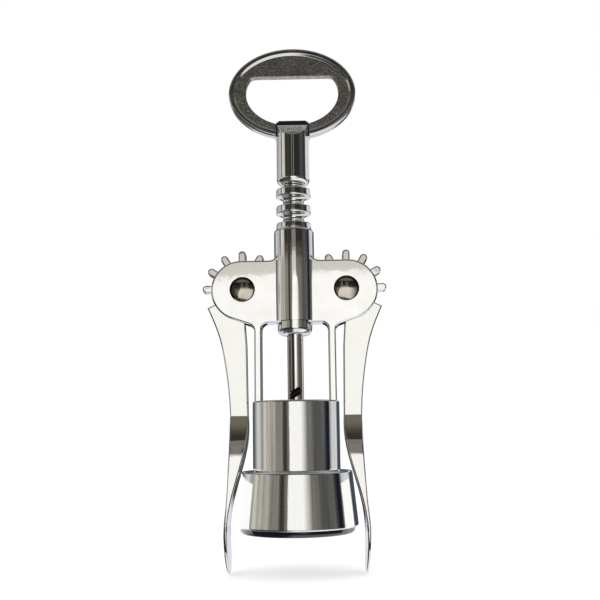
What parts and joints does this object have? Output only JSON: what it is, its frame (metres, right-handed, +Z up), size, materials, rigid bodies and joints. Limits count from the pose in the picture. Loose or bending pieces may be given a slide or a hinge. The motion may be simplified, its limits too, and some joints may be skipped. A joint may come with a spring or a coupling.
{
  "type": "wing corkscrew",
  "caption": "Wing corkscrew with two geared levers, a ring-toothed rack, a right-hand worm, a bell for the bottle's neck and an oval cap-lifter handle.",
  "frame": {"origin": "centre of the bottle ring's mouth, where the tool sits over a bottle's lip", "axes": "+Z up along the worm's axis towards the handle, +X towards the right lever, +Y towards the back, so the flat cheeks face -Y and +Y"},
  "size_m": [0.063, 0.0408, 0.1813],
  "materials": {
    "frame_chrome": "polished plating on a casting",
    "bell_chrome": "polished plating on a casting",
    "lever_chrome": "polished plating on a casting",
    "rack_chrome": "polished plating",
    "neck_chrome": "polished plating",
    "head_nickel": "nickel plating, smooth on the rim and with a fine cast grain inside it",
    "pin_steel": "turned end",
    "worm_steel": "ground and plated",
    "ring_plastic": "moulded, satin"
  },
  "bodies": {
    "frame": {"frame": "frame_chrome", "bell": "bell_chrome", "bottle_ring": "ring_plastic", "left_pivot_pin": "pin_steel", "right_pivot_pin": "pin_steel"},
    "rack": {"rack_sleeve": "rack_chrome"},
    "spindle": {"handle_neck": "neck_chrome", "end_collar": "neck_chrome", "worm": "worm_steel", "opener_head": "head_nickel"},
    "left_lever": {"left_lever": "lever_chrome"},
    "right_lever": {"right_lever": "lever_chrome"}
  },
  "joints": [
    {"name": "left_lever_lift", "type": "hinge", "parent": "frame", "child": "left_lever", "pos_m": [-0.01775, 0, 0.0811], "axis": [0, 1, 0], "range_deg": [0, 150]},
    {"name": "right_lever_lift", "type": "hinge", "parent": "frame", "child": "right_lever", "pos_m": [0.01775, 0, 0.0811], "axis": [0, -1, 0], "range_deg": [0, 150]},
    {"name": "rack_drop", "type": "slide", "parent": "frame", "child": "rack", "axis": [0, 0, -1], "range_m": [0, 0.03142]},
    {"name": "handle_turn", "type": "hinge", "parent": "rack", "child": "spindle", "pos_m": [0, 0, 0.1], "axis": [0, 0, 1], "continuous": true}
  ],
  "couplings": [
    {"joint": "right_lever_lift", "follows": "left_lever_lift", "ratio": 1},
    {"joint": "rack_drop", "follows": "left_lever_lift", "m_per_rad": 0.012}
  ]
}
